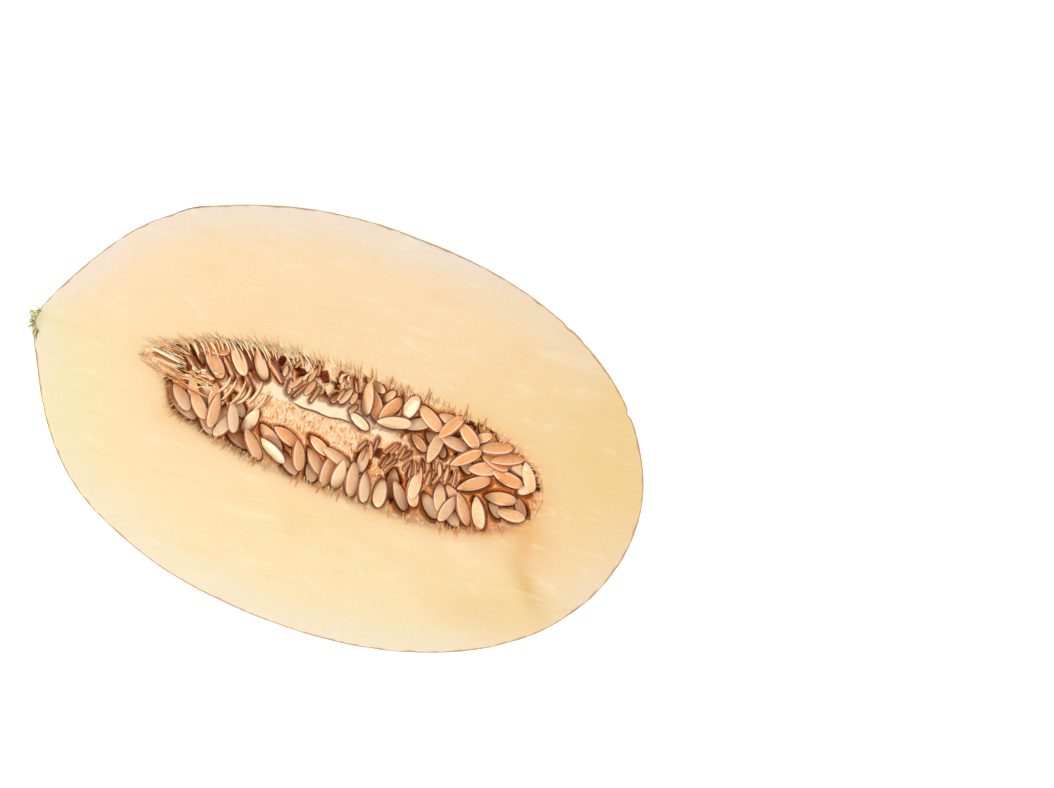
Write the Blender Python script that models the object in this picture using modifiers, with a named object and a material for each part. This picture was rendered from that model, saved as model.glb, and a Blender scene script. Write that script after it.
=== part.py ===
"""Half of a pale netted melon, cut lengthwise, with its seed pulp, seeds and dried stem stub.

Metres, +Z up. The half lies on the flattened ground spot of its rind, with the cut face up and level.
X runs from the stem end (-X) to the blossom end (+X). The origin is on the table, under the middle of it all.
"""

import math
import random

import bmesh
import bpy
import numpy as np
from mathutils import Matrix, Vector
from mathutils.bvhtree import BVHTree

MM = 0.001

# ---- The fruit -------------------------------------------------------------------------------------------
MELON_LENGTH = 238.5 * MM  # without its stem
MELON_WIDTH = 154 * MM
STEM_POWER = 2.0  # how blunt each end is: 2 is an ellipse, more is fuller
BLOSSOM_POWER = 2.3
NECK_PINCH = 0.52  # share of the radius lost at the very stem end, where the fruit draws in to its stem
NECK_REACH = 13 * MM  # how far along the fruit the pinch is felt
NECK_FALL = 1.3
GROUND_SPOT_DEPTH = 1.0 * MM  # how much the side that the fruit grew on is flattened
CUT_HEIGHT = MELON_WIDTH / 2 - GROUND_SPOT_DEPTH  # the knife goes through the fruit's axis

# ---- The seed cavity and the pulp in it ------------------------------------------------------------------
CAVITY_LENGTH = 160 * MM
CAVITY_WIDTH = 46 * MM
CAVITY_STEM_POWER = 2.1
CAVITY_BLOSSOM_POWER = 3.6
CAVITY_OFFSET = Vector((2.8 * MM, -1 * MM))  # the cavity's middle from the fruit's, along and across
CLEARANCE = 0.4 * MM  # between the pulp and the cavity wall, and between a seed and what it lies on
RIDGE_DROP = 5 * MM  # the pulp's middle ridge stands this far below the cut
LOWER_BANK_DEPTH = 14 * MM  # the two seed banks, one on each side of the ridge
UPPER_BANK_DEPTH = 9 * MM
BANK_WIDTH = 22 * MM
BANK_POWER = 4  # how full a bank's ends are
BANK_OFFSET = 13.5 * MM  # from the ridge to the middle of a bank
# (middle's distance in from the cavity's end, length, width, depth) of the hollow at each end of the ridge
STEM_HOLLOW = (24 * MM, 64 * MM, 26 * MM, 7 * MM)
BLOSSOM_HOLLOW = (18 * MM, 50 * MM, 38 * MM, 9 * MM)

# ---- Seeds and stem --------------------------------------------------------------------------------------
SEED_LENGTH = 12.8 * MM
SEED_WIDTH = 5.6 * MM
SEED_THICKNESS = 1.9 * MM
SEED_VARIATION = 0.08  # seeds differ in size by up to this share
STEEPEST_BED = math.radians(32)  # a seed slides down until it lies flatter than this
SLIDE_ALONG = 0.99  # share of its distance from the cavity's middle that a seed keeps at each slide
SLIDE_ACROSS = 0.94
MOST_SLIDES = 14
SEED_AROUND, SEED_ALONG = 8, 6  # segments of its mesh
SEED_BULGE = 0.22  # how much wider a seed is at its round end
STEM_RADIUS = 3 * MM
STEM_LENGTH = 4.5 * MM
STEM_TAPER = 0.75  # the outer end's radius, as a share
STEM_OUT = 1.5 * MM  # how much of it stands out of the fruit's tip

# ---- Mesh fineness ---------------------------------------------------------------------------------------
FRUIT_STATIONS = 28
FRUIT_STEPS = 48
PULP_STATIONS = 24
PULP_STEPS = 28
TROUGH_STATIONS = 16
TROUGH_STEPS = 20
STEM_SEGMENTS = 16
PILE_STEP = 0.4 * MM  # grid of the height map that seeds are dropped on
HIGH_UP = 0.1  # above everything, where rays start

FRUIT_MIDDLE = Vector((STEM_OUT / 2, 0, CUT_HEIGHT))
CAVITY_MIDDLE = FRUIT_MIDDLE + CAVITY_OFFSET.to_3d()
STEM_TIP = FRUIT_MIDDLE - Vector((MELON_LENGTH / 2 + STEM_OUT, 0, 0))

random.seed(7)


# ---- Shared building blocks ------------------------------------------------------------------------------
def clear_scene():
    for obj in list(bpy.data.objects):
        bpy.data.objects.remove(obj)


def new_collection(name):
    made = bpy.data.collections.new(name)
    bpy.context.scene.collection.children.link(made)
    return made


def material(name, colour, roughness):
    made = bpy.data.materials.new(name)
    made.use_nodes = True
    shader = made.node_tree.nodes["Principled BSDF"]
    shader.inputs["Base Color"].default_value = (*colour, 1)
    shader.inputs["Roughness"].default_value = roughness
    shader.inputs["Metallic"].default_value = 0
    return made


def add_object(name, mesh, collection, look=None):
    obj = bpy.data.objects.new(name, mesh)
    collection.objects.link(obj)
    if look:
        mesh.materials.append(look)
    return obj


def as_cutter(obj):
    obj.hide_render = True
    obj.display_type = "WIRE"
    return obj


def turned(name, radius_at, length, stations, steps, collection, look=None):
    """A shape turned about the X axis: radius_at gives its radius at a share of the half length, -1 to 1."""
    shares = [math.cos(math.pi * i / stations) for i in range(stations + 1)]
    points = [(share * length / 2, 0, radius_at(share)) for share in shares]
    mesh = bpy.data.meshes.new(name)
    mesh.from_pydata(points, [(i, i + 1) for i in range(stations)], [])
    obj = add_object(name, mesh, collection, look)
    screw = obj.modifiers.new("Turn", "SCREW")
    screw.axis = "X"
    screw.steps = screw.render_steps = steps
    screw.use_merge_vertices = True
    screw.merge_threshold = 0.00001
    return obj


def box_cutter(name, low, high):
    """A box between two corners, for cutting."""
    mesh = bpy.data.meshes.new(name)
    shape = bmesh.new()
    bmesh.ops.create_cube(shape, size=1)
    shape.to_mesh(mesh)
    shape.free()
    low, high = Vector(low), Vector(high)
    mesh.transform(Matrix.LocRotScale((low + high) / 2, None, high - low))
    return as_cutter(add_object(name, mesh, cutters))


def stem_cone(name, inner_radius, outer_radius, length, collection, look=None):
    """A cone from the stem's outer end into the fruit."""
    mesh = bpy.data.meshes.new(name)
    shape = bmesh.new()
    bmesh.ops.create_cone(
        shape, cap_ends=True, segments=STEM_SEGMENTS, radius1=inner_radius, radius2=outer_radius, depth=length
    )
    shape.to_mesh(mesh)
    shape.free()
    mesh.transform(Matrix.Rotation(math.radians(-90), 4, "Y"))
    obj = add_object(name, mesh, collection, look)
    obj.location = STEM_TIP + Vector((length / 2, 0, 0))
    return obj


def cut(obj, cutter):
    boolean = obj.modifiers.new("Cut by " + cutter.name, "BOOLEAN")
    boolean.operation = "DIFFERENCE"
    boolean.object = cutter


def smooth(obj, angle=40):
    obj.data.shade_smooth()
    obj.data.set_sharp_from_angle(angle=math.radians(angle))


clear_scene()
parts = new_collection("melon_half")
cutters = new_collection("cutters")
FLESH = material("Melon flesh", (0.90, 0.76, 0.46), 0.45)
PULP = material("Seed pulp", (0.86, 0.66, 0.45), 0.5)
SEED_COAT = material("Seed coat", (0.80, 0.52, 0.30), 0.4)
STEM = material("Dried stem", (0.42, 0.44, 0.20), 0.8)


# ---- Rind and flesh: one grown piece, halved, hollowed and flattened where it lies -----------------------
def fullness(share, stem_power, blossom_power):
    """Radius as a share of the widest, from the stem end (-1) to the blossom end (1)."""
    power = blossom_power if share > 0 else stem_power
    return math.sqrt(max(0.0, 1 - abs(share) ** power))


def fruit_radius(share):
    from_stem = (1 + share) * MELON_LENGTH / 2
    neck = 1 - NECK_PINCH * math.exp(-((from_stem / NECK_REACH) ** NECK_FALL))
    return MELON_WIDTH / 2 * neck * fullness(share, STEM_POWER, BLOSSOM_POWER)


def cavity_radius(share):
    return CAVITY_WIDTH / 2 * fullness(share, CAVITY_STEM_POWER, CAVITY_BLOSSOM_POWER)


reach = MELON_LENGTH
knife = box_cutter("knife", (-reach, -reach, CUT_HEIGHT), (reach, reach, CUT_HEIGHT + reach))
ground = box_cutter("ground", (-reach, -reach, -reach), (reach, reach, 0))
socket_depth = STEM_LENGTH + CLEARANCE
socket = as_cutter(stem_cone("stem_socket", STEM_RADIUS + CLEARANCE, STEM_RADIUS + CLEARANCE, socket_depth, cutters))
cavity = as_cutter(turned("cavity", cavity_radius, CAVITY_LENGTH, PULP_STATIONS, PULP_STEPS, cutters))
cavity.location = CAVITY_MIDDLE

fruit = turned("rind_and_flesh", fruit_radius, MELON_LENGTH, FRUIT_STATIONS, FRUIT_STEPS, parts, FLESH)
fruit.location = FRUIT_MIDDLE
for cutter in (knife, ground, socket, cavity):
    cut(fruit, cutter)
smooth(fruit)


# ---- Stem stub: what is left of the dried stem, cut through with the fruit -------------------------------
stem = stem_cone("stem_stub", STEM_RADIUS, STEM_TAPER * STEM_RADIUS, STEM_LENGTH, parts, STEM)
cut(stem, knife)
smooth(stem)


# ---- Seed pulp: fills the cavity, with a bank on each side of its ridge for the seeds to lie in ----------
def pulp_radius(share):
    return max(0.0, cavity_radius(share) - CLEARANCE)


def trough_cutter(name, length, width, depth, along=0.0, across=0.0, power=2):
    """A long trough as deep as depth below the cut, with tapered ends."""
    def trough_radius(share):
        return width / 2 * fullness(share, power, power)

    trough = turned(name, trough_radius, length, TROUGH_STATIONS, TROUGH_STEPS, cutters)
    trough.scale.z = depth / (width / 2)
    trough.location = CAVITY_MIDDLE + Vector((along, across, 0))
    return as_cutter(trough)


def seed_pulp():
    pulp = turned("seed_pulp", pulp_radius, CAVITY_LENGTH - 2 * CLEARANCE, PULP_STATIONS, PULP_STEPS, parts, PULP)
    pulp.location = CAVITY_MIDDLE
    top = CUT_HEIGHT - RIDGE_DROP
    cut(pulp, box_cutter("pulp_top", (-reach, -reach, top), (reach, reach, top + reach)))
    for name, side, depth in (("lower_bank", -1, LOWER_BANK_DEPTH), ("upper_bank", 1, UPPER_BANK_DEPTH)):
        across = side * BANK_OFFSET
        cut(pulp, trough_cutter(name, CAVITY_LENGTH, BANK_WIDTH, depth, across=across, power=BANK_POWER))
    for name, side, hollow in (("stem_hollow", -1, STEM_HOLLOW), ("blossom_hollow", 1, BLOSSOM_HOLLOW)):
        inset, length, width, depth = hollow
        cut(pulp, trough_cutter(name, length, width, depth, along=side * (CAVITY_LENGTH / 2 - inset)))
    smooth(pulp)
    return pulp


pulp = seed_pulp()


# ---- Seeds: dropped one after another, so that each lies on the pulp, the flesh or the seeds before it ---
# (along, across, heading, pitch, roll): the place as hundredths of the cavity's half length and half width,
# and angles in degrees. Heading is the way that the round end points, 0 being +X, pitch lifts that end and
# roll turns the seed on its side. Those underneath come first.
LOWER_BANK = (
    (-74, -57, -20, 0, 0),
    (-62, -63, -60, 0, 0),
    (-45, -70, -25, 0, 0),
    (-19, -78, -45, 0, 0),
    (-7, -83, -80, 0, 0),
    (31, -52, -75, 0, 0),
    (62, -76, -45, 0, 0),
    (-76, -37, -45, 0, 0),
    (-67, -39, -47, 0, 0),
    (-60, -41, -88, 0, 0),
    (-53, -61, -108, 0, 0),
    (-50, -39, -68, 0, 0),
    (-43, -41, -100, 0, 0),
    (-37, -70, -48, 0, 0),
    (-30, -50, -35, 0, 0),
    (-27, -67, -25, 0, 0),
    (-23, -39, -15, 0, 0),
    (-15, -61, -65, 0, 0),
    (-7, -61, -50, 0, 0),
    (0, -72, -95, 0, 0),
    (2, -43, -8, 0, 0),
    (6, -72, -80, 0, 0),
    (12.5, -72, -80, 0, 0),
    (19, -72, -85, 0, 0),
    (27, -72, -70, 0, 0),
    (36, -67, -45, 0, 0),
    (51, -65, -42, 0, 0),
    (54, -46, -70, 0, 10),
    (59, -59, -115, 0, 0),
    (66, -52, -48, 0, 0),
    (76, -59, -62, 0, 10),
)
BLOSSOM_END = (
    (67, -7, 35, 0, 0),
    (69, 22, 20, 0, 0),
    (90, -39, -5, 0, 0),
    (81, -15, 10, 0, 0),
    (82, 43, -15, 0, 0),
    (81, 20, -8, 0, 0),
    (72, 39, -20, 0, 0),
    (83, 70, 30, 0, 0),
    (71, 59, 18, 0, 0),
    (92, 39, -65, 0, 0),
)
UPPER_BANK = (
    (44, 26, 85, 0, 0),
    (52, 44, -3, 0, 0),
    (32, 52, 28, 0, 0),
    (57, 65, -35, 0, 0),
    (37, 70, -30, 0, 0),
    (48, 67, 60, 0, 0),
    (27, 74, 70, 0, 0),
    (11, 59, -60, 0, 0),
    (18, 61, 60, 0, 0),
    (22, 43, 15, 0, 0),
    (7, 80, -80, 0, 0),
    (61, 35, 45, 0, 0),
    (-67, 35, -45, 0, 0),
    (-69, 57, 8, 0, 0),
    (-57, 57, -50, 0, 20),
    (-46, 57, -52, 0, 20),
)


def seed_mesh():
    """A flat teardrop: pointed where it hung on the pulp, round at the other end, which points to +X."""
    mesh = bpy.data.meshes.new("seed")
    shape = bmesh.new()
    bmesh.ops.create_uvsphere(shape, u_segments=SEED_AROUND, v_segments=SEED_ALONG, radius=1)
    bmesh.ops.rotate(shape, verts=shape.verts, matrix=Matrix.Rotation(math.radians(90), 3, "Y"))
    for vert in shape.verts:
        along = vert.co.x
        vert.co.y *= 1 + SEED_BULGE * along
        vert.co.x *= SEED_LENGTH / 2
        vert.co.y *= SEED_WIDTH / 2
        vert.co.z *= SEED_THICKNESS / 2
    shape.to_mesh(mesh)
    shape.free()
    mesh.materials.append(SEED_COAT)
    mesh.shade_smooth()
    return mesh


class Pile:
    """The height of whatever lies in the cavity so far, on a grid over the cavity's plan."""

    def __init__(self):
        half = Vector((CAVITY_LENGTH, CAVITY_WIDTH)) / 2 + Vector((SEED_LENGTH, SEED_LENGTH))
        self.low = CAVITY_MIDDLE.xy - half
        self.height = np.zeros([int(2 * side / PILE_STEP) for side in half])

    def place(self, i, j):
        return self.low.x + i * PILE_STEP, self.low.y + j * PILE_STEP

    def cells(self, low, high):
        """The grid cells over a rectangle."""
        first = [max(1, math.floor((low[k] - self.low[k]) / PILE_STEP)) for k in (0, 1)]
        last = [
            min(self.height.shape[k] - 2, math.ceil((high[k] - self.low[k]) / PILE_STEP)) for k in (0, 1)
        ]
        return [(i, j) for i in range(first[0], last[0] + 1) for j in range(first[1], last[1] + 1)]

    def add(self, points, faces):
        """Raises the pile to the top of a mesh, and one cell round it too, so that neighbours keep apart."""
        tree = BVHTree.FromPolygons(points, faces)
        corners = np.array(points)
        for i, j in self.cells(corners.min(0), corners.max(0)):
            hit = tree.ray_cast((*self.place(i, j), HIGH_UP * 2), (0, 0, -1))[0]
            if hit:
                around = self.height[i - 1 : i + 2, j - 1 : j + 2]
                np.maximum(around, hit.z, out=around)

    def bed(self, x, y, heading):
        """The upward direction of the surface under a seed, found from the heights that it covers."""
        along = np.array((math.cos(heading), math.sin(heading)))
        reach = SEED_LENGTH / 2
        rows, heights = [], []
        for i, j in self.cells((x - reach, y - reach), (x + reach, y + reach)):
            offset = np.array(self.place(i, j)) - (x, y)
            run, side = offset @ along, offset @ (-along[1], along[0])
            if (run / SEED_LENGTH) ** 2 + (side / SEED_WIDTH) ** 2 < 0.25:
                rows.append((*offset, 1))
                heights.append(self.height[i, j])
        slope = np.linalg.lstsq(np.array(rows), np.array(heights), rcond=None)[0][:2]
        steepness = math.atan(np.linalg.norm(slope))
        if steepness > STEEPEST_BED:
            slope *= math.tan(STEEPEST_BED) / math.tan(steepness)
        return Vector((-slope[0], -slope[1], 1)).normalized()

    def lift(self, points, faces):
        """How far a mesh has to rise to lie clear of the pile."""
        tree = BVHTree.FromPolygons(points, faces)
        corners = np.array(points)
        most = -math.inf
        for i, j in self.cells(corners.min(0), corners.max(0)):
            hit = tree.ray_cast((*self.place(i, j), -HIGH_UP), (0, 0, 1))[0]
            if hit:
                most = max(most, self.height[i, j] - hit.z)
        return most + CLEARANCE


def solid_points(obj):
    """World-space points and faces of an object as its modifiers leave it."""
    graph = bpy.context.evaluated_depsgraph_get()
    evaluated = obj.evaluated_get(graph)
    mesh = evaluated.to_mesh()
    points = [evaluated.matrix_world @ vert.co for vert in mesh.vertices]
    faces = [tuple(face.vertices) for face in mesh.polygons]
    evaluated.to_mesh_clear()
    return points, faces


def lying_seed(mesh, x, y, spot, size, pile):
    """Where a seed comes to rest over a place, and its points and faces there."""
    heading, pitch, roll = (math.radians(angle) for angle in spot[2:])
    up = pile.bed(x, y, heading)
    forward = Vector((math.cos(heading), math.sin(heading), 0))
    forward = (forward - up * forward.dot(up)).normalized()
    lying = Matrix((forward, up.cross(forward), up)).transposed().to_4x4()
    turn = lying @ Matrix.Rotation(-pitch, 4, "Y") @ Matrix.Rotation(roll, 4, "X")
    there = Matrix.Translation((x, y, 0)) @ turn @ size
    points = [there @ vert.co for vert in mesh.vertices]
    faces = [tuple(face.vertices) for face in mesh.polygons]
    rise = Vector((0, 0, pile.lift(points, faces)))
    return Matrix.Translation(rise) @ there, [point + rise for point in points], faces


def drop_seed(name, mesh, spot, pile):
    """Drops a seed, which slides in towards the cavity's middle until no part of it stands over the cut."""
    size = Matrix.Diagonal([1 + random.uniform(-SEED_VARIATION, SEED_VARIATION) for _ in range(3)] + [1])
    lowest = math.inf
    for slide in range(MOST_SLIDES):
        x = CAVITY_MIDDLE.x + spot[0] / 100 * CAVITY_LENGTH / 2 * SLIDE_ALONG**slide
        y = CAVITY_MIDDLE.y + spot[1] / 100 * CAVITY_WIDTH / 2 * SLIDE_ACROSS**slide
        lying = lying_seed(mesh, x, y, spot, size, pile)
        top = max(point.z for point in lying[1])
        if top < lowest:
            lowest = top
            matrix, points, faces = lying
        if top < CUT_HEIGHT:
            break
    seed = add_object(name, mesh, parts)
    seed.matrix_world = matrix
    pile.add(points, faces)
    return seed


bpy.context.view_layer.update()
pile = Pile()
pile.add(*solid_points(fruit))
pile.add(*solid_points(pulp))
one_seed = seed_mesh()
for number, spot in enumerate(LOWER_BANK + BLOSSOM_END + UPPER_BANK, 1):
    drop_seed(f"seed_{number:02d}", one_seed, spot, pile)
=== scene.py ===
"""Looks of the melon half: the grown fruit with its netted rind and cut face, the pulp and threads in
its seed cavity, the seeds, and the dried stem. Metres, +Z up, stem end at -X."""

import math
import random

import bpy
import numpy as np
from mathutils import Matrix, Vector, noise
from mathutils.bvhtree import BVHTree
from mathutils.kdtree import KDTree


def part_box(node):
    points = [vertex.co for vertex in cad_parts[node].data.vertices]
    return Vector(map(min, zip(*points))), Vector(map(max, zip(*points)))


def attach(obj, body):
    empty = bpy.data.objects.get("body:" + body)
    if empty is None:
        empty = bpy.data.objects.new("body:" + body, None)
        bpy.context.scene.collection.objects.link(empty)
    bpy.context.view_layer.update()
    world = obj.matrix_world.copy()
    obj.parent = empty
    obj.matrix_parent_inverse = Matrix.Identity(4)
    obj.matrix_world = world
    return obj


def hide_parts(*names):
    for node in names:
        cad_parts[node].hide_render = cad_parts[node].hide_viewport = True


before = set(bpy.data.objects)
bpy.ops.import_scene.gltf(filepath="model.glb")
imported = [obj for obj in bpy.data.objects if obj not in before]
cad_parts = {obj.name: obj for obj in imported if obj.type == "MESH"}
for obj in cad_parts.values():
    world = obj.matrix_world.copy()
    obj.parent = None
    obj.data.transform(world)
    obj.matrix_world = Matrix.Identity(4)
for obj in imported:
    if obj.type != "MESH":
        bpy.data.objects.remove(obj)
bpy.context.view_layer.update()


# ==== Rind and flesh ====================================================================================
# The fruit grew as one piece: a thin rind with a raised corky net, and pale flesh that is creamy white
# under the rind and yellow further in. A knife cut it lengthwise, through the stem: a flat moist face.
MM = 0.001
FRUIT_LENGTH = 238.5 * MM
STEM_POWER, BLOSSOM_POWER = 2.0, 2.3
NECK_PINCH, NECK_REACH, NECK_FALL = 0.52, 13 * MM, 1.3
CAVITY_LENGTH, CAVITY_WIDTH = 160 * MM, 46 * MM
CAVITY_STEM_POWER, CAVITY_BLOSSOM_POWER = 2.1, 3.6
AROUND = 540  # points round the rim
RIND_RINGS, FACE_RINGS, WALL_RINGS = 96, 46, 14

fruit_low, fruit_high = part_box("rind_and_flesh")
CUT = fruit_high.z
FRUIT_WIDTH = fruit_high.y - fruit_low.y
FRUIT_X = fruit_high.x - FRUIT_LENGTH / 2
CAVITY_X, CAVITY_Y = FRUIT_X + 2.8 * MM, -1 * MM


def fullness(share, stem_power, blossom_power):
    power = np.where(share > 0, blossom_power, stem_power)
    return np.sqrt(np.clip(1 - np.abs(share) ** power, 0, 1))


def fruit_radius(x):
    share = np.clip((x - FRUIT_X) / (FRUIT_LENGTH / 2), -1, 1)
    from_stem = (1 + share) * FRUIT_LENGTH / 2
    neck = 1 - NECK_PINCH * np.exp(-((from_stem / NECK_REACH) ** NECK_FALL))
    return FRUIT_WIDTH / 2 * neck * fullness(share, STEM_POWER, BLOSSOM_POWER)


def cavity_radius(x):
    share = np.clip((x - CAVITY_X) / (CAVITY_LENGTH / 2), -1, 1)
    return CAVITY_WIDTH / 2 * fullness(share, CAVITY_STEM_POWER, CAVITY_BLOSSOM_POWER)


def rough(points, size, octaves, seed=0.0):
    """Soft noise of about -1 to 1 at each point, with features of the given size."""
    moved = [Vector(point) / size + Vector((seed, seed, seed)) for point in points]
    return np.array([noise.fractal(place, 1.0, 2.0, octaves) for place in moved])


def near(x, y, middle, reach):
    """1 at a place, falling softly to 0 at about twice its reach; both are (along, across), in mm."""
    along, across = (x / MM - middle[0]) / reach[0], (y / MM - middle[1]) / reach[1]
    return np.exp(-(along**2) - across**2)


def step(value, low, high):
    """0 below low and 1 above high, with a soft change between them."""
    share = np.clip((value - low) / (high - low), 0, 1)
    return share * share * (3 - 2 * share)


def distance_to(points, outline):
    """How far each point is from an outline, both in plan."""
    nearest = np.full(len(points), np.inf)
    for corner in outline:
        np.minimum(nearest, np.hypot(points[:, 0] - corner[0], points[:, 1] - corner[1]), out=nearest)
    return nearest


def make_piece(name, points, faces, materials, slot, kinds=None, replaced=(), **values):
    """A smooth mesh that rides with the fruit. values are numbers per point, kept as attributes."""
    mesh = bpy.data.meshes.new(name)
    mesh.from_pydata(np.asarray(points).tolist(), [], [tuple(face) for face in faces])
    for attribute, numbers in values.items():
        kept = mesh.attributes.new(attribute, "FLOAT", "POINT")
        kept.data.foreach_set("value", np.asarray(numbers, np.float32))
    for one in materials:
        mesh.materials.append(one)
    if kinds is not None:
        mesh.polygons.foreach_set("material_index", np.asarray(kinds, np.int32))
    mesh.shade_smooth()
    piece = bpy.data.objects.new(name, mesh)
    bpy.context.scene.collection.objects.link(piece)
    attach(piece, "root")
    if replaced:
        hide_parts(*replaced)


def colour(hex_value):
    """An sRGB hex colour as linear RGBA."""
    parts = [int(hex_value[i : i + 2], 16) / 255 for i in (0, 2, 4)]
    return [p / 12.92 if p <= 0.04045 else ((p + 0.055) / 1.055) ** 2.4 for p in parts] + [1.0]


def node(tree, kind, inputs=(), **settings):
    """Adds a node. inputs are pairs of a socket and its number, colour or link."""
    made = tree.nodes.new("ShaderNode" + kind)
    for name, value in settings.items():
        setattr(made, name, value)
    for socket, value in dict(inputs).items():
        if isinstance(value, bpy.types.NodeSocket):
            tree.links.new(value, made.inputs[socket])
        else:
            made.inputs[socket].default_value = value
    return made


def amount_of(tree, name):
    """The numbers per point that make_piece kept under this name."""
    return node(tree, "Attribute", attribute_name=name).outputs["Fac"]


def calculate(tree, operation, *values):
    return node(tree, "Math", enumerate(values), operation=operation).outputs[0]


def scaled(tree, place, factors):
    """A place with its axes multiplied: a factor below 1 draws a texture out along its axis."""
    return node(tree, "VectorMath", {0: place, 1: factors}, operation="MULTIPLY").outputs[0]


def noise_of(tree, place, size, detail, **more):
    """Noise of 0 to 1 with features of the given size."""
    return node(tree, "TexNoise", {"Vector": place, "Scale": 1 / size, "Detail": detail, **more}).outputs[0]


def remap(tree, value, low, high, to_low=0.0, to_high=1.0, curve="LINEAR"):
    """Turns low into to_low and high into to_high, with the values between in step and none beyond."""
    limits = {"Value": value, "From Min": low, "From Max": high, "To Min": to_low, "To Max": to_high}
    return node(tree, "MapRange", limits, interpolation_type=curve).outputs[0]


def ramp(tree, value, *stops):
    """Colours by value; stops are pairs of a value and a hex colour, in rising order."""
    made = node(tree, "ValToRGB", {0: value})
    elements = made.color_ramp.elements
    elements[0].position, elements[1].position = stops[0][0], stops[-1][0]
    for place, _ in stops[1:-1]:
        elements.new(place)
    for element, (_, tint) in zip(elements, stops):
        element.color = colour(tint)
    return made.outputs[0]


def mix(tree, amount, base, tint, blend="MIX"):
    """base with a tint mixed in by an amount; the tint is a hex colour or a link."""
    tint = colour(tint) if isinstance(tint, str) else tint
    made = node(tree, "Mix", {0: amount, 6: base, 7: tint}, data_type="RGBA", blend_type=blend)
    return made.outputs[2]


def bump(tree, shader, height, strength, distance):
    made = node(tree, "Bump", {"Height": height, "Strength": strength, "Distance": distance})
    tree.links.new(made.outputs[0], shader.inputs["Normal"])


def new_material(name, **constants):
    """A Principled material, its tree and its shader; constants are set on the shader's own sockets."""
    made = bpy.data.materials.new(name)
    made.use_nodes = True
    shader = made.node_tree.nodes["Principled BSDF"]
    for socket, value in constants.items():
        shader.inputs[socket.replace("_", " ")].default_value = value
    return made, made.node_tree, shader


def rind_material():
    """Netted melon rind: matt cream skin under a raised net of tan cork, greener by the stem."""
    made, tree, shader = new_material("netted_melon_rind", Roughness=0.62, IOR=1.45)
    place = node(tree, "TexCoord").outputs["Object"]
    wander = node(tree, "TexNoise", {"Vector": place, "Scale": 1 / (9 * MM), "Detail": 4.0}).outputs["Color"]
    centred = node(tree, "VectorMath", {0: wander, 1: (0.5, 0.5, 0.5)}, operation="SUBTRACT").outputs[0]
    farthest = (12 * MM,) * 3
    bent = node(tree, "VectorMath", {0: centred, 1: farthest, 2: place}, operation="MULTIPLY_ADD").outputs[0]
    lines = []
    for cell, stretch, width in ((5.5 * MM, 3.4, 0.08), (3.0 * MM, 2.6, 0.1)):
        long_cells = {"Vector": scaled(tree, bent, (1 / stretch, 1, 1)), "Scale": 1 / cell}
        to_edge = node(tree, "TexVoronoi", long_cells, feature="DISTANCE_TO_EDGE").outputs["Distance"]
        lines.append(remap(tree, to_edge, 0.01, width, 1.0, 0.0, "SMOOTHSTEP"))
    patches = noise_of(tree, place, 38 * MM, 2.0)
    toward = calculate(tree, "MULTIPLY_ADD", amount_of(tree, "blossomward"), 0.45, patches)
    main_lines = calculate(tree, "MULTIPLY", lines[0], remap(tree, toward, 0.3, 0.5, 0.35, 1.0))
    fine_lines = calculate(tree, "MULTIPLY", lines[1], remap(tree, toward, 0.55, 0.85, curve="SMOOTHSTEP"))
    net = calculate(tree, "MAXIMUM", main_lines, fine_lines)

    streak = noise_of(tree, scaled(tree, place, (0.15, 1, 1)), 3 * MM, 4.0)
    base = ramp(tree, streak, (0.25, "E4C19A"), (0.5, "EBCBA6"), (0.75, "F1D8B9"))
    warm = ramp(tree, patches, (0.35, "FFFFFF"), (0.7, "F6DEC8"))
    base = mix(tree, 0.8, base, warm, "MULTIPLY")
    base = mix(tree, amount_of(tree, "stemward"), base, "CCC592")
    broken = remap(tree, streak, 0.3, 0.6, 0.3, 0.9)
    base = mix(tree, calculate(tree, "MULTIPLY", net, broken), base, "D2A476")
    fleck = noise_of(tree, scaled(tree, bent, (0.45, 1, 1)), 7 * MM, 1.0)
    base = mix(tree, remap(tree, fleck, 0.74, 0.78, 0.0, 0.65), base, "8E5F38")
    tree.links.new(base, shader.inputs["Base Color"])

    grain = noise_of(tree, place, 1.2 * MM, 3.0)
    bump(tree, shader, calculate(tree, "MULTIPLY_ADD", grain, 0.18, net), 0.8, 0.4 * MM)
    return made


FLESH_TINTS = {"green": "E7DEA6", "tan": "EBCB8C", "orange": "E5A457", "ochre": "D69B3A", "tip": "BCC27E"}


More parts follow.
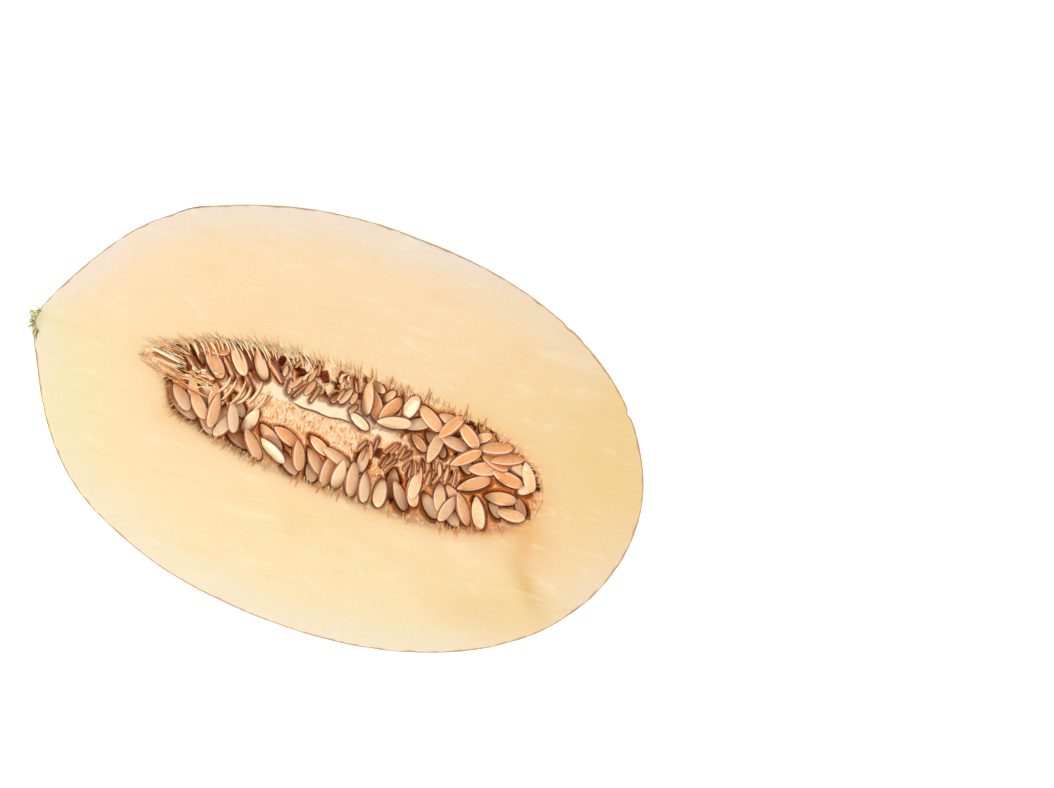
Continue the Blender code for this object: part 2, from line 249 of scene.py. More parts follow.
def flesh_material():
    """Moist melon flesh: a little translucent, creamy by the rind, yellow inside, orange by the seeds."""
    made, tree, shader = new_material(
        "moist_melon_flesh", Roughness=0.46, IOR=1.36, Subsurface_Weight=0.25, Subsurface_Scale=3 * MM
    )
    shader.inputs["Subsurface Radius"].default_value = (1.0, 0.7, 0.4)
    place = node(tree, "TexCoord").outputs["Object"]
    depth = amount_of(tree, "skin_depth")
    soft = noise_of(tree, place, 26 * MM, 3.0, Roughness=0.6)
    uneven = calculate(tree, "ADD", depth, remap(tree, soft, 0.0, 1.0, -4.5, 4.5))
    base = ramp(
        tree,
        remap(tree, uneven, 0.0, 40.0),
        (0.0, "EADACA"),
        (0.14, "EDDBC3"),
        (0.3, "F1D8B6"),
        (0.5, "F3D8AE"),
        (1.0, "F2D5A8"),
    )
    for name, tint in FLESH_TINTS.items():
        base = mix(tree, amount_of(tree, name), base, tint)

    vein = noise_of(tree, scaled(tree, place, (0.28, 1, 1)), 5 * MM, 4.0, Distortion=0.8)
    base = mix(tree, remap(tree, vein, 0.58, 0.72, 0.0, 0.3), base, "F7EBCF")
    base = mix(tree, remap(tree, vein, 0.42, 0.3, 0.0, 0.18), base, "E7C489")

    ragged = noise_of(tree, place, 5 * MM, 4.0)
    under_skin = calculate(tree, "DIVIDE", depth, remap(tree, ragged, 0.3, 0.7, 0.25, 1.0))
    base = mix(tree, remap(tree, under_skin, 1.2, 0.5, 0.0, 0.85), base, "B08A66")
    tree.links.new(base, shader.inputs["Base Color"])

    grain = noise_of(tree, place, 1.1 * MM, 4.0)
    bump(tree, shader, calculate(tree, "ADD", grain, vein), 0.35, 0.35 * MM)
    return made


def rim_outline():
    """The cut edge of the rind, seen from above, with the unevenness that a fruit and a knife leave."""
    turns = np.arange(AROUND) / AROUND * 2 * math.pi
    x = FRUIT_X + FRUIT_LENGTH / 2 * np.cos(turns)
    y = np.sign(np.sin(turns)) * fruit_radius(x)
    points = np.stack([x, y, np.zeros(AROUND)], 1)
    dent = 0.35 * MM * rough(points, 30 * MM, 2) + 0.12 * MM * rough(points, 4 * MM, 2)
    dent -= 0.7 * MM * near(x, y, (-76, 59), (6, 6))
    for nick in ((70, 64), (77.5, 60), (103, 42)):
        dent += 1.0 * MM * near(x, y, nick, (1.3, 1.3))
    away = np.hypot(x - FRUIT_X, y)
    shrink = 1 - dent / away
    return FRUIT_X + (x - FRUIT_X) * shrink, y * shrink


def cavity_outline():
    """The torn edge of the seed cavity, seen from above."""
    turns = np.arange(AROUND) / AROUND * 2 * math.pi
    x = CAVITY_X + CAVITY_LENGTH / 2 * np.cos(turns)
    y = CAVITY_Y + np.sign(np.sin(turns)) * cavity_radius(x)
    drawn_in = np.where(y < CAVITY_Y, 0.72, 0.22) * step(-x, 57 * MM, 70 * MM)
    y = CAVITY_Y + (y - CAVITY_Y) * (1 - drawn_in) + 2.2 * MM * step(-x, 60 * MM, 74 * MM)
    points = np.stack([x, y, np.zeros(AROUND)], 1)
    tear = 0.8 * MM * rough(points, 9 * MM, 3, 3.1) + 0.5 * MM * rough(points, 2 * MM, 2, 5.2)
    grow = 1 + tear / np.hypot(x - CAVITY_X, y - CAVITY_Y)
    return CAVITY_X + (x - CAVITY_X) * grow, CAVITY_Y + (y - CAVITY_Y) * grow


def fruit_body():
    rim_x, rim_y = rim_outline()
    hole_x, hole_y = cavity_outline()
    rings = []
    for k in range(1, RIND_RINGS + 1):  # up the rind, from the ground spot to the rim
        share = math.sin(k / RIND_RINGS * math.pi / 2)
        x = FRUIT_X + (rim_x - FRUIT_X) * share
        radius = fruit_radius(x)
        aside = rim_y * share / np.maximum(radius, 1e-9)
        drop = radius * np.sqrt(np.clip(1 - aside**2, 0, 1))
        z = CUT - (drop if k < RIND_RINGS else 0 * drop)
        rings.append(np.stack([x, rim_y * share, np.maximum(z, 0)], 1))
    for k in range(1, FACE_RINGS + 1):  # in over the cut face, from the rim to the cavity
        share = 0.5 - 0.5 * math.cos(k / FACE_RINGS * math.pi)
        x, y = rim_x + (hole_x - rim_x) * share, rim_y + (hole_y - rim_y) * share
        soft = np.exp(-np.hypot(hole_x - x, hole_y - y) / (0.8 * MM))
        rings.append(np.stack([x, y, CUT - 0.7 * MM * soft], 1))
    for k in range(1, WALL_RINGS):  # down the cavity wall to its bottom
        share = math.cos(k / WALL_RINGS * math.pi / 2)
        x, y = CAVITY_X + (hole_x - CAVITY_X) * share, CAVITY_Y + (hole_y - CAVITY_Y) * share
        drop = np.sqrt(np.clip(cavity_radius(x) ** 2 - (y - CAVITY_Y) ** 2, 0, None))
        rings.append(np.stack([x, y, CUT - np.maximum(drop, 0.9 * MM)], 1))
    bottom = (FRUIT_X, 0, 0)
    cavity_bottom = (CAVITY_X, CAVITY_Y, CUT - CAVITY_WIDTH / 2)
    points = np.concatenate([[bottom], *rings, [cavity_bottom]])

    faces, kinds = [], []
    for k in range(len(rings) + 1):
        inner, outer = 1 + (k - 1) * AROUND, 1 + k * AROUND
        for i in range(AROUND):
            j = (i + 1) % AROUND
            if k == 0:
                faces.append((0, outer + j, outer + i))
            elif k == len(rings):
                faces.append((inner + i, inner + j, outer))
            else:
                faces.append((inner + i, inner + j, outer + j, outer + i))
            kinds.append(0 if k < RIND_RINGS else 1)

    x, y = points[:, :2].T
    outline = np.stack([rim_x, rim_y], 1)
    hole = np.stack([hole_x, hole_y], 1)
    to_hole = distance_to(points, hole)
    cloud = rough(points, 20 * MM, 3, 7.7)
    patchy = 1 + 0.6 * cloud
    green = 0.3 * step(-y, 22 * MM, 45 * MM)
    green += 0.6 * near(x, y, (-98, -22), (20, 26)) + 0.3 * near(x, y, (-112, 2), (8, 9))
    tan = 0.55 * step(x, 10 * MM, 100 * MM) * step(y, -30 * MM, 20 * MM)
    tan += 0.35 * step(x, 70 * MM, 105 * MM) + 0.1 * cloud
    tan += 0.5 * near(x, y, (80, -42), (24, 14)) + 0.2 * near(x, y, (0, -36), (30, 7))
    orange = 0.2 + 0.4 * step(x, -10 * MM, 70 * MM) + 0.25 * step(-y, 0, 12 * MM) + 0.3 * cloud
    orange *= np.exp(-to_hole / (2.4 * MM))
    orange += 0.6 * near(x, y, (84, -15), (9, 10)) * (1 + 0.5 * cloud) + 0.2 * near(x, y, (-56, -16), (9, 6))
    orange += 0.14 * near(x, y, (70, -48), (16, 6)) + 0.12 * near(x, y, (0, -42), (6, 6))
    slanted = x + 0.8 * (y + 31 * MM)
    ochre = 0.45 * near(slanted, y, (88, -31), (5.5, 9)) * patchy
    tip = 0.8 * near(x, y, (-118, -1.5), (2.5, 5)) * patchy
    make_piece(
        "netted_rind_and_cut_flesh",
        points,
        faces,
        [rind_material(), flesh_material()],
        "rind_and_flesh",
        kinds,
        ["rind_and_flesh"],
        skin_depth=distance_to(points, outline) / MM,
        green=green,
        tan=np.clip(tan, 0, 1),
        orange=np.clip(orange, 0, 0.8),
        ochre=np.clip(ochre, 0, 1),
        tip=np.clip(tip, 0, 0.9),
        blossomward=step(x, -90 * MM, 90 * MM),
        stemward=np.clip(step(-x, 92 * MM, 120 * MM) * (0.7 + 0.5 * cloud), 0, 0.85),
    )


fruit_body()


# ==== Seeds =============================================================================================
# Flat teardrops, pointed where they hung on the pulp and round at the other end. Their margin is painted
# dark brown, partly its own darker colour and juice, partly painted shade, with a pale band of painted
# highlight inside it. Wet, so their cream to tan coats shine. They grew in the pulp: the larger ones are
# pieces of their own, and the many seeds lodged under and between them are one piece.
SEED_LENGTH, SEED_WIDTH, SEED_THICKNESS = 12.8 * MM, 5.6 * MM, 1.9 * MM
SEED_RINGS, SEED_SIDES = 20, 20
RIDGE_HEIGHT, RIDGE_AT, RIDGE_REACH = 0.2, 0.86, 0.08  # shares of the half thickness and the half width
GRID = 0.4 * MM
# painted light: the seeds on the side of -Y are made paler, making up for the shade that bank gets
LOWER_BANK_PAINTED_LIGHT = 0.12  # taken off the tone of the seeds on the side of -Y
dice = random.Random(11)


def seed_points():
    """A seed along X with its round end at +X, and for each point how near its margin it is."""
    points, margin = [], []
    for i in range(SEED_RINGS + 1):
        along = -math.cos(i / SEED_RINGS * math.pi)
        power, fall = (2.6, 0.52) if along > 0 else (1.7, 0.75)
        width = max(0.0, 1 - abs(along) ** power) ** fall
        for k in range(SEED_SIDES):
            angle = k / SEED_SIDES * 2 * math.pi
            side, up = math.cos(angle), math.sin(angle)
            ridge = RIDGE_HEIGHT * math.exp(-(((abs(side) - RIDGE_AT) / RIDGE_REACH) ** 2)) * (abs(up) > 0.05)
            lens = math.copysign(abs(up) ** 0.75 + ridge, up)
            height = lens * min(1, width * 1.5) * SEED_THICKNESS / 2
            points.append((along * SEED_LENGTH / 2, side * width * SEED_WIDTH / 2, height))
            margin.append(abs(side) ** 4 + 0.8 * abs(along) ** 16)
    return np.array(points), np.clip(margin, 0, 1)


def tube_faces(rings, sides, first=0):
    """Quads between rings of points that follow one another."""
    faces = []
    for i in range(rings):
        here, there = first + i * sides, first + (i + 1) * sides
        for k in range(sides):
            faces.append((here + k, there + k, there + (k + 1) % sides, here + (k + 1) % sides))
    return faces


def seed_material():
    """Wet seed coat: smooth, faintly mottled, cream to tan, with a tight clear shine; a pale band of painted
    highlight inside the margin, and a dark brown edge that is partly its own colour and juice, partly painted
    shade.
    """
    made, tree, shader = new_material(
        "wet_seed_coat",
        Roughness=0.36,
        IOR=1.46,
        Coat_Weight=0.4,
        Coat_Roughness=0.2,
        Subsurface_Weight=0.3,
        Subsurface_Scale=2.5 * MM,
    )
    shader.inputs["Subsurface Radius"].default_value = (1.0, 0.55, 0.3)
    place = node(tree, "TexCoord").outputs["Object"]
    cloud = noise_of(tree, place, 1.3 * MM, 5.0, Roughness=0.65)
    base = ramp(
        tree,
        calculate(tree, "MULTIPLY_ADD", cloud, 0.6, amount_of(tree, "tone")),
        (0.2, "FFD9AA"),
        (0.4, "FFC288"),
        (0.62, "F8AA66"),
        (0.82, "DC7C32"),
        (1.0, "A84E14"),
    )
    margin = amount_of(tree, "margin")
    # along the margin: a pale band of painted highlight, then tan, then a dark brown edge that is partly the
    # seed's own colour and juice, partly painted shade
    for tint, start, full in (("FFF0D8", 0.14, 0.3), ("F0AC6C", 0.38, 0.46), ("8E3A0A", 0.48, 0.72)):
        base = mix(tree, remap(tree, margin, start, full, 0.0, 0.8), base, tint)
    tree.links.new(base, shader.inputs["Base Color"])
    bump(tree, shader, cloud, 0.3, 0.15 * MM)
    return made


def lie_of(name):
    """The middle of a CAD seed, its directions (lengthwise to the round end, across, up) and its size."""
    corners = np.array([v.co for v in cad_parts[name].data.vertices])
    corners = np.unique(np.round(corners, 6), axis=0)
    centred = corners - corners.mean(0)
    along, across = np.linalg.svd(centred)[2][:2]
    reach, spread = centred @ along, np.abs(centred @ across)
    if spread[reach > 0].mean() < spread[reach < 0].mean():
        along = -along
    up = np.cross(along, across)
    if up[2] < 0:
        across, up = -across, -up
    axes = np.stack([along, across, up])
    spans = corners @ axes.T
    return (spans.max(0) + spans.min(0)) / 2 @ axes, axes, np.ptp(spans, 0)


class Bed:
    """The underside of the seeds so far, on a grid over the cavity. More seeds are pushed in below them."""

    def __init__(self, spare=6 * MM):
        size = np.array((CAVITY_LENGTH, CAVITY_WIDTH))
        self.low = np.array((CAVITY_X, CAVITY_Y)) - size / 2 - spare
        self.shape = np.ceil((size + 2 * spare) / GRID).astype(int)
        self.under = np.full(self.shape, CUT)

    def cells(self, points):
        return tuple(np.clip(((points[:, :2] - self.low) / GRID).astype(int), 0, self.shape - 1).T)

    def add(self, points):
        np.minimum.at(self.under, self.cells(points), points[:, 2])

    def taken(self, points):
        """The share of a seed's cells that are under other seeds."""
        return (self.under[self.cells(points)] < CUT).mean()


def turned(heading, pitch, roll):
    """Axes of a seed: its round end points along heading, lifted by pitch, and roll turns it on its side."""
    turn = Matrix.Rotation(math.radians(heading), 3, "Z") @ Matrix.Rotation(math.radians(-pitch), 3, "Y")
    return np.array((turn @ Matrix.Rotation(math.radians(roll), 3, "X")).transposed())


COAT = seed_material()
whole_seed, seed_margin = seed_points()
bed = Bed()
seed_shapes = []  # points of every seed, for the pulp to fit round
for name in sorted(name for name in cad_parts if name.startswith("seed_") and name != "seed_pulp"):
    middle, axes, size = lie_of(name)
    points = whole_seed * (size / (SEED_LENGTH, SEED_WIDTH, SEED_THICKNESS)) @ axes + middle
    # a paler tone on the side of -Y: painted light
    tone = dice.uniform(-0.05, 0.32) - LOWER_BANK_PAINTED_LIGHT * (middle[1] < -5 * MM)
    make_piece(
        "coated_" + name,
        points,
        tube_faces(SEED_RINGS, SEED_SIDES),
        [COAT],
        "seed_coat",
        None,
        [name],
        tone=np.full(len(points), tone),
        margin=seed_margin,
    )
    bed.add(points)
    seed_shapes.append(points)

# hollows in the pulp where no seed is left, as places in mm; they are sunk and painted dark brown inside as
# shade
HOLLOWS = (-33, 7), (-26, 16), (-18, 15), (-9, 16), (-7, 9), (-4, 14.5), (7, 14), (16, 6.5), (25, 7), (20, -4)
lodged, lodged_tones = [], []


def lodge(count, along, across, heading, pitch, roll, depth, most_taken, tone, size):
    """Pushes seeds in at places drawn between limits in mm, where they fit under the seeds so far, with
    turns drawn in degrees. depth is how far below the cut their tops are, at least and at most, and the
    depth below which none is kept. Others may cover up to most_taken of a seed."""
    for _ in range(count):
        place = np.array((dice.uniform(*along) * MM, dice.uniform(*across) * MM, 0))
        axes = turned(dice.uniform(*heading), dice.uniform(*pitch), dice.uniform(*roll))
        points = whole_seed * dice.uniform(*size) @ axes + place
        inside = np.abs(points[:, 1] - CAVITY_Y) < cavity_radius(points[:, 0]) - 0.3 * MM
        clear = all(np.hypot(*(points[:, :2] / MM - hollow).T).min() > 1.6 for hollow in HOLLOWS)
        if not (inside.all() and clear) or bed.taken(points) > most_taken:
            continue
        points[:, 2] += CUT - dice.uniform(*depth[:2]) * MM - points[:, 2].max()
        points[:, 2] -= max(0, (points[:, 2] - bed.under[bed.cells(points)]).max() + 0.05 * MM)
        if points[:, 2].max() > CUT - depth[2] * MM:
            bed.add(points)
            lodged.append(points)
            lodged_tones.append(dice.uniform(*tone))


brown, pale = (-0.05, 0.35), (-0.15, 0.2)  # limits of the tone
# the comb of thin seeds at the stem end, and the small ones on end beyond it and by the ridge
lodge(500, (-62, -27), (4, 16), (-50, -38), (-8, 8), (58, 78), (0.3, 1.2, 4), 0.3, brown, (0.75, 0.9))
lodge(400, (-32, 9), (8, 20), (-125, -60), (0, 55), (20, 75), (0.3, 1.2, 4), 0.2, (-0.05, 0.3), (0.4, 0.65))
lodge(260, (12, 50), (-6.5, 0), (-125, -65), (0, 30), (50, 80), (0.3, 1.0, 3), 0.3, brown, (0.4, 0.55))
# the banks, the blossom end and the upper side
flat = (-6, 6), (-12, 12)
lodge(500, (-62, -30), (-20, -5), (-110, -45), *flat, (0.5, 2.0, 6), 0.4, pale, (0.8, 1.0))
lodge(400, (-34, 2), (-24, -8), (-60, -20), *flat, (0.5, 2.0, 6), 0.4, pale, (0.8, 1.0))
lodge(500, (-2, 42), (-25, -8), (-98, -62), *flat, (0.5, 2.0, 6), 0.4, pale, (0.85, 1.0))
lodge(400, (38, 72), (-21, -5), (-80, -35), *flat, (0.5, 2.0, 6), 0.4, (0.0, 0.4), (0.7, 1.0))
lodge(500, (50, 82), (-13, 17), (-60, 60), (-10, 25), (-25, 25), (0.4, 1.8, 6), 0.4, brown, (0.6, 0.95))
lodge(500, (8, 55), (4, 21), (-70, 80), (-10, 30), (-25, 25), (0.4, 1.8, 6), 0.4, (-0.05, 0.4), (0.6, 0.95))


def faces_of_seeds(count):
    """The faces of seeds whose points follow one another."""
    return [face for i in range(count) for face in tube_faces(SEED_RINGS, SEED_SIDES, i * len(whole_seed))]


make_piece(
    "lodged_seeds",
    np.concatenate(lodged),
    faces_of_seeds(len(lodged)),
    [COAT],
    "seed_coat",
    tone=np.repeat(lodged_tones, len(whole_seed)),
    margin=np.tile(seed_margin, len(lodged)),
)
seed_shapes += lodged


# ==== Seed pulp =========================================================================================
# The soft tissue that holds the seeds: a smooth pale membrane with a split along it, a creased ridge
# beside that, and wet orange pulp in the banks. Where it lies deeper and in its creases it is painted
# darker, as painted shade, and round the seeds, in the hollows and in the split it is dark brown, partly
# juice and partly painted shade. It grows out of the flesh.
PULP_ALONG, PULP_ACROSS = 640, 190
SPLIT_FROM, SPLIT_TO = -22 * MM, 11 * MM
BETWEEN_SEEDS = 2.2 * MM  # how far below the top of a seed on edge the pulp beside it lies
# the darkest tint goes beside the seeds, in the hollows and in the split: partly juice, partly painted shade
PULP_TINTS = {"orange": "E08430", "membrane": "FFE6C8", "cream": "FAE0B4", "crevice": "8A3607"}


def split_line(x):
    """Where the split in the membrane runs, across the fruit."""
    return 2.8 * MM + 0.4 * MM * np.sin(x / (5 * MM)) + 0.25 * MM * np.sin(x / (1.7 * MM))


def pulp_material():
    """Wet melon pulp: pale tissue, painted tan to brown where it lies deeper and in its creases as painted
    shade, with dark brown in its crevices that is partly juice and partly painted shade.
    """
    made, tree, shader = new_material(
        "wet_seed_pulp", Roughness=0.4, IOR=1.34, Subsurface_Weight=0.35, Subsurface_Scale=2.5 * MM
    )
    shader.inputs["Subsurface Radius"].default_value = (1.0, 0.5, 0.25)
    place = node(tree, "TexCoord").outputs["Object"]
    strand = noise_of(tree, scaled(tree, place, (1.0, 0.3, 0.5)), 0.8 * MM, 4.0)
    # depth makes the pulp darker where it lies deeper, in creases and in pores: painted shade
    base = ramp(
        tree,
        calculate(tree, "MULTIPLY_ADD", strand, 0.75, amount_of(tree, "depth")),
        (0.18, "FFE8CE"),
        (0.38, "FDD0A0"),
        (0.58, "F2AC6A"),
        (0.78, "DA8034"),
        (1.0, "AC5216"),
    )
    for name, tint in PULP_TINTS.items():
        base = mix(tree, amount_of(tree, name), base, tint)
    tree.links.new(base, shader.inputs["Base Color"])
    bump(tree, shader, strand, 0.5, 0.25 * MM)
    return made


def seeds_over(points):
    """For each place: how far off the nearest seed margin is, its height, and the seed above's underside."""
    rims = []
    for shape in seed_shapes:
        rim = shape[seed_margin > 0.8].copy()
        rim[:, 2] = np.maximum(rim[:, 2], shape[:, 2].max() - BETWEEN_SEEDS)
        rims.append(rim)
    rim = np.concatenate(rims)
    finder = KDTree(len(rim))
    for index, corner in enumerate(rim):
        finder.insert((corner[0], corner[1], 0), index)
    finder.balance()
    found = [finder.find((x, y, 0))[1:] for x, y, _ in points]
    away = np.array([distance for _, distance in found])
    edge = rim[[index for index, _ in found], 2]
    corners = np.concatenate(seed_shapes).tolist()
    tree = BVHTree.FromPolygons(corners, faces_of_seeds(len(seed_shapes)))
    hits = [tree.ray_cast((x, y, 0), (0, 0, 1))[0] for x, y, _ in points]
    return away, edge, np.array([hit.z if hit else np.inf for hit in hits])


def seed_pulp():
    hole_x, hole_y = cavity_outline()
    half = AROUND // 2
    stations = np.linspace(hole_x.min() + 0.3 * MM, hole_x.max() - 0.3 * MM, PULP_ALONG)
    upper = np.interp(stations, hole_x[: half + 1][::-1], hole_y[: half + 1][::-1]) + 0.4 * MM
    lower = np.interp(stations, hole_x[half:], hole_y[half:]) - 0.4 * MM
    shares = 0.5 - 0.5 * np.cos(np.linspace(0.02, 0.98, PULP_ACROSS) * math.pi)
    x = np.repeat(stations[:, None], PULP_ACROSS, 1)
    y = lower[:, None] + (upper - lower)[:, None] * shares
    flat = np.stack([x.ravel(), y.ravel(), np.zeros(x.size)], 1)
    to_wall = distance_to(flat[:, :2], np.stack([hole_x, hole_y], 1)).reshape(x.shape)
    to_seed, seed_edge, underside = (values.reshape(x.shape) for values in seeds_over(flat))

    from_split = y - split_line(x)
    along = step(x, -40 * MM, -20 * MM) * step(-x, -34 * MM, -10 * MM)
    membrane = along * step(from_split, -1.0 * MM, 0.1 * MM) * step(-from_split, -7.5 * MM, -4 * MM)
    split = step(x, SPLIT_FROM, SPLIT_FROM + 9 * MM) * step(-x, -SPLIT_TO, -SPLIT_TO + 6 * MM)
    split = split * np.exp(-((from_split / (0.35 * MM)) ** 2))
    middle = step(y, -11 * MM, -7 * MM) * step(-y, -6 * MM, -2 * MM)
    middle = middle * step(x, -70 * MM, -50 * MM) * step(-x, -60 * MM, -48 * MM)
    tongue = step(-x, 58 * MM, 66 * MM)
    firm = np.clip(middle + membrane + tongue, 0, 1)

    bend = np.stack([rough(flat, 7 * MM, 2, 6.3), rough(flat, 7 * MM, 2, 8.8), np.zeros(x.size)], 1)
    bent = flat + 2.5 * MM * bend
    creases = 1 - np.abs(rough(bent * (1, 0.35, 1), 1.2 * MM, 3, 2.2)).reshape(x.shape) * 2.2
    creases = step(creases, 0.55, 0.95)
    lumps = rough(flat, 3.2 * MM, 3, 9.1).reshape(x.shape)
    pores = step(rough(bent, 1.8 * MM, 2, 4.4), 0.2, 0.55).reshape(x.shape)
    holes = 0 * x
    for hole_at in HOLLOWS:
        away = np.hypot(x / MM - hole_at[0], y / MM - hole_at[1]) + 1.6 * lumps
        holes = np.maximum(holes, step(-away, -2.4, -1.4))

    surface = CUT - (2.6 - 1.6 * firm) * MM + 0.5 * MM * lumps
    surface = surface - (0.5 * creases + 0.45 * pores) * MM * (1 - 0.75 * membrane)
    surface = surface + (CUT - 0.7 * MM - surface) * membrane
    surface = surface + (CUT - 0.35 * MM - surface) * np.exp(-to_wall / ((1.6 + 0.9 * lumps) * MM))
    surface = surface - 2.2 * MM * holes - 1.8 * MM * split
    beside = seed_edge - 0.25 * MM + 1.2 * to_seed + 4 / MM * np.clip(to_seed - 0.8 * MM, 0, None) ** 2
    surface = np.minimum(surface, beside)
    surface = np.minimum(surface, underside - 0.1 * MM)
    surface = np.clip(surface, CUT - 13 * MM, CUT - 0.1 * MM)

    # depth, from how far the pulp is sunk and from its creases and pores, darkens its colour: painted shade
    sunk = np.clip((CUT - surface) / (6 * MM), 0, 1)
    depth = np.clip(0.6 * sunk + 0.3 * creases + 0.2 * pores - 0.27, 0, 1) * (1 - 0.6 * membrane)
    # dark brown beside the seeds where the pulp is sunk, in the hollows and in the split: partly juice,
    # partly painted shade
    crevice = np.exp(-to_seed / (0.75 * MM)) * step(sunk, 0.05, 0.3)
    crevice = crevice * (1 - np.exp(-to_wall / (0.8 * MM)))
    crevice = np.clip(np.maximum(crevice, np.maximum(0.95 * holes * (1 - membrane), 0.95 * split)), 0, 1)
    orange = 0.5 * step(x, 20 * MM, 65 * MM) * (1 - 0.7 * firm) + 0.4 * step(-y, 10 * MM, 18 * MM)
    orange = np.clip(orange * (0.9 + 0.8 * lumps), 0, 0.75)
    cream = np.exp(-to_wall / (1.5 * MM)) * (0.9 + 0.5 * lumps) * (1 - 0.5 * step(x, 20 * MM, 70 * MM))
    cream = cream + 0.85 * near(x, y, (-8, 13), (18, 7)) * (1 - holes)

    top = np.stack([x, y, surface], 2).reshape(-1, 3)
    wall = CUT - np.sqrt(np.clip(cavity_radius(x) ** 2 - (y - CAVITY_Y) ** 2, 0, None))
    under = np.stack([x, y, np.minimum(surface - 1 * MM, wall)], 2).reshape(-1, 3)
    count = x.size
    index = np.arange(count).reshape(x.shape)
    sheet = np.stack([index[:-1, :-1], index[1:, :-1], index[1:, 1:], index[:-1, 1:]], -1).reshape(-1, 4)
    border = np.array([*index[:, 0], *index[-1, 1:], *index[-2::-1, -1], *index[0, -2:0:-1]])
    after = np.roll(border, -1)
    side = np.stack([border, count + border, count + after, after], 1)

    def twice(values):
        return np.concatenate([values.ravel(), values.ravel()])

    make_piece(
        "creased_seed_pulp",
        np.concatenate([top, under]),
        np.concatenate([sheet, count + sheet[:, ::-1], side]).tolist(),
        [pulp_material()],
        "seed_pulp",
        None,
        ["seed_pulp"],
        depth=twice(depth),
        orange=twice(orange),
        membrane=twice(np.clip(membrane * (0.85 + 0.3 * lumps), 0, 1)),
        cream=twice(np.clip(cream, 0, 0.9)),
        crevice=twice(crevice),
    )


seed_pulp()


# ==== Threads ===========================================================================================
# Fine threads of the pulp that the knife dragged over the flesh all round the cavity: pale and combed by
# the stem end, short and orange elsewhere, with a bundle that runs out to the stem, and thicker strands
# within the cavity. They grow out of the pulp.
THREAD_SIDES, THREAD_RINGS = 5, 8
thread_points, thread_tones = [], []


def thread(start, end, radius, tone, bow=0.0, blunt=False, height=0.05):
    """A thread between two places in plan, in mm, bent sideways by bow, at a height above the cut. It
    tapers to its end, or to both ends if it is blunt. tone is 0 for cream to 1 for brown."""
    start, end = np.array((*start, height)), np.array((*end, height))
    run = end - start
    side = np.array((-run[1], run[0], 0)) / max(np.hypot(run[0], run[1]), 1e-6)
    for k in range(THREAD_RINGS + 1):
        t = k / THREAD_RINGS
        middle = start + run * t + side * bow * 4 * t * (1 - t)
        taper = math.sin(math.pi * t) ** 0.5 if blunt else (1 - t) ** 0.7 * min(1, 0.4 + 4 * t)
        thick = radius * taper + 0.01
        for n in range(THREAD_SIDES):
            angle = n / THREAD_SIDES * 2 * math.pi
            up = (0, 0, 0.6 * thick * math.sin(angle))
            thread_points.append(middle + side * thick * math.cos(angle) + up)
            thread_tones.append(tone)


hole_x, hole_y = (values / MM for values in cavity_outline())
WARM_FROM = -20  # in mm along the fruit: beyond it the hairs are fewer and more orange


def rim_at(x, side):
    """Where the cavity's edge is across the fruit, in mm, on the side of +Y (1) or -Y (-1)."""
    half = slice(0, AROUND // 2 + 1) if side > 0 else slice(AROUND // 2, AROUND)
    order = np.argsort(hole_x[half])
    return float(np.interp(x, hole_x[half][order], hole_y[half][order]))


def combed(x, side):
    """The way that threads were dragged at a place on the cavity's edge, in degrees."""
    if side > 0:
        return np.interp(x, (-76, -45, -15, 20, 60, 84), (165, 140, 125, 95, 75, 15))
    return np.interp(x, (-76, -50, -20, 20, 60, 84), (195, 245, 260, 275, 295, 345))


for side, count in ((1, 340), (-1, 150)):  # hairs all round
    for _ in range(count):
        x = -76 + 159 * dice.random()
        if x > WARM_FROM and dice.random() < 0.45:
            continue
        edge = rim_at(x, side)
        heading = math.radians(combed(x, side) + dice.gauss(0, 9))
        length = dice.uniform(1.5, 5.5) * (0.6 if side < 0 or x > 10 else 1)
        start = x - 2.2 * math.cos(heading), edge - 2.2 * math.sin(heading)
        end = start[0] + (length + 2) * math.cos(heading), start[1] + (length + 2) * math.sin(heading)
        warm = dice.choice((0.1, 0.35, 0.55)) + 0.15 * (x > WARM_FROM or side < 0)
        thread(start, end, dice.uniform(0.1, 0.2), warm, dice.gauss(0, 0.35), height=0.0)
for x in np.arange(-64, -20, 1.5):  # the pale comb at the stem end
    x += dice.uniform(-0.3, 0.3)
    top = rim_at(x, 1) + dice.uniform(0.2, 1.6)
    heading = math.radians(-42 + dice.gauss(0, 4))
    length = dice.uniform(5, 10)
    end = x + length * math.cos(heading), top + length * math.sin(heading)
    thick, tone, bow = dice.uniform(0.3, 0.55), dice.uniform(0.05, 0.4), dice.uniform(0.3, 0.9)
    thread((x, top), end, thick, tone, bow, True, -0.3)
    # a dark brown thread beside each pale one: painted shadow
    thread((x + 0.7, top - 0.3), (end[0] + 0.7, end[1]), 0.3, 0.95, 0.6, True, -0.3)
for x in (7, 15, 22, 29, 31, 45, 53):  # orange points on the side of +Y, each beside a pale one
    tip = x + dice.gauss(0, 0.5), rim_at(x, 1) + dice.uniform(2, 4.5)
    thread((x, rim_at(x, 1) - 2.5), tip, 0.45, dice.uniform(0.6, 0.8), dice.gauss(0, 0.4))
    thread((x + 0.8, rim_at(x, 1) - 2), (tip[0] + 0.7, tip[1] - 0.8), 0.3, 0.1, dice.gauss(0, 0.4))
for x in (-40, -23, -5, 3, 11, 31, 39, 57):  # orange points on the side of -Y
    tip = x + dice.gauss(0, 0.8), rim_at(x, -1) - dice.uniform(1.5, 3.5)
    thread((x, rim_at(x, -1) + 2.5), tip, 0.5, dice.uniform(0.55, 0.75), dice.gauss(0, 0.4))
